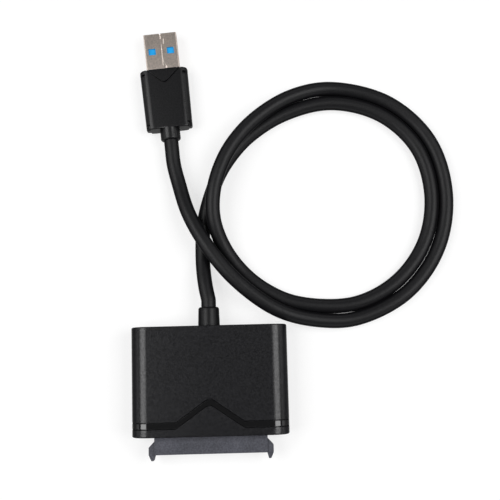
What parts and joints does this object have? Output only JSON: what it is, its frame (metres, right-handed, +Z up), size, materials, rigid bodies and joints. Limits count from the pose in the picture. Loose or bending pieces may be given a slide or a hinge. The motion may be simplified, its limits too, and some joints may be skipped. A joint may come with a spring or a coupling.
{
  "type": "usb to sata adapter",
  "caption": "Flat moulded housing with a keyed drive receptacle at one end and, at the other, a round cord laid in loops that ends in a rectangular data plug",
  "frame": {"origin": "middle of the flat underside of the housing, on the surface that the adapter lies on", "axes": "+Z up; the receptacle faces -Y and the cord leaves at +Y; +X runs across the housing, towards the cord's loops"},
  "size_m": [0.1158, 0.1533, 0.013],
  "materials": {
    "housing_black": "fine satin texture",
    "strip_gloss": "polished",
    "receptacle_grey": "moulded, dull",
    "contact_gold": "gold plated",
    "board_green": "solder resist",
    "component_black": "moulded package",
    "component_metal": "tinned can",
    "capacitor_brown": "ceramic",
    "relief_rubber": "satin",
    "cord_black": "satin jacket",
    "conductor_insulation": "coloured insulation",
    "overmould_black": "fine satin texture",
    "shell_steel": "brushed, nickel plated",
    "insulator_blue": "moulded"
  },
  "bodies": {
    "root": {"upper_shell": "housing_black", "lower_shell": "housing_black", "glossy_strip": "strip_gloss", "sata_receptacle": "receptacle_grey", "signal_contact_01": "contact_gold", "signal_contact_02": "contact_gold", "signal_contact_03": "contact_gold", "signal_contact_04": "contact_gold", "signal_contact_05": "contact_gold", "signal_contact_06": "contact_gold", "signal_contact_07": "contact_gold", "power_contact_01": "contact_gold", "power_contact_02": "contact_gold", "power_contact_03": "contact_gold", "power_contact_04": "contact_gold", "power_contact_05": "contact_gold", "power_contact_06": "contact_gold", "power_contact_07": "contact_gold", "power_contact_08": "contact_gold", "power_contact_09": "contact_gold", "power_contact_10": "contact_gold", "power_contact_11": "contact_gold", "power_contact_12": "contact_gold", "power_contact_13": "contact_gold", "power_contact_14": "contact_gold", "power_contact_15": "contact_gold", "circuit_board": "board_green", "bridge_chip": "component_black", "crystal": "component_metal", "regulator": "component_black", "inductor": "component_black", "capacitor_1": "capacitor_brown", "capacitor_2": "capacitor_brown", "capacitor_3": "capacitor_brown", "strain_relief": "relief_rubber", "conductor_1": "conductor_insulation", "conductor_2": "conductor_insulation", "conductor_3": "conductor_insulation", "conductor_4": "conductor_insulation", "conductor_5": "conductor_insulation", "cord": "cord_black", "plug_overmould": "overmould_black", "plug_shell": "shell_steel", "plug_insulator": "insulator_blue", "front_pin_1": "contact_gold", "front_pin_2": "contact_gold", "front_pin_3": "contact_gold", "front_pin_4": "contact_gold", "rear_pin_1": "contact_gold", "rear_pin_2": "contact_gold", "rear_pin_3": "contact_gold", "rear_pin_4": "contact_gold", "rear_pin_5": "contact_gold"}
  },
  "joints": []
}
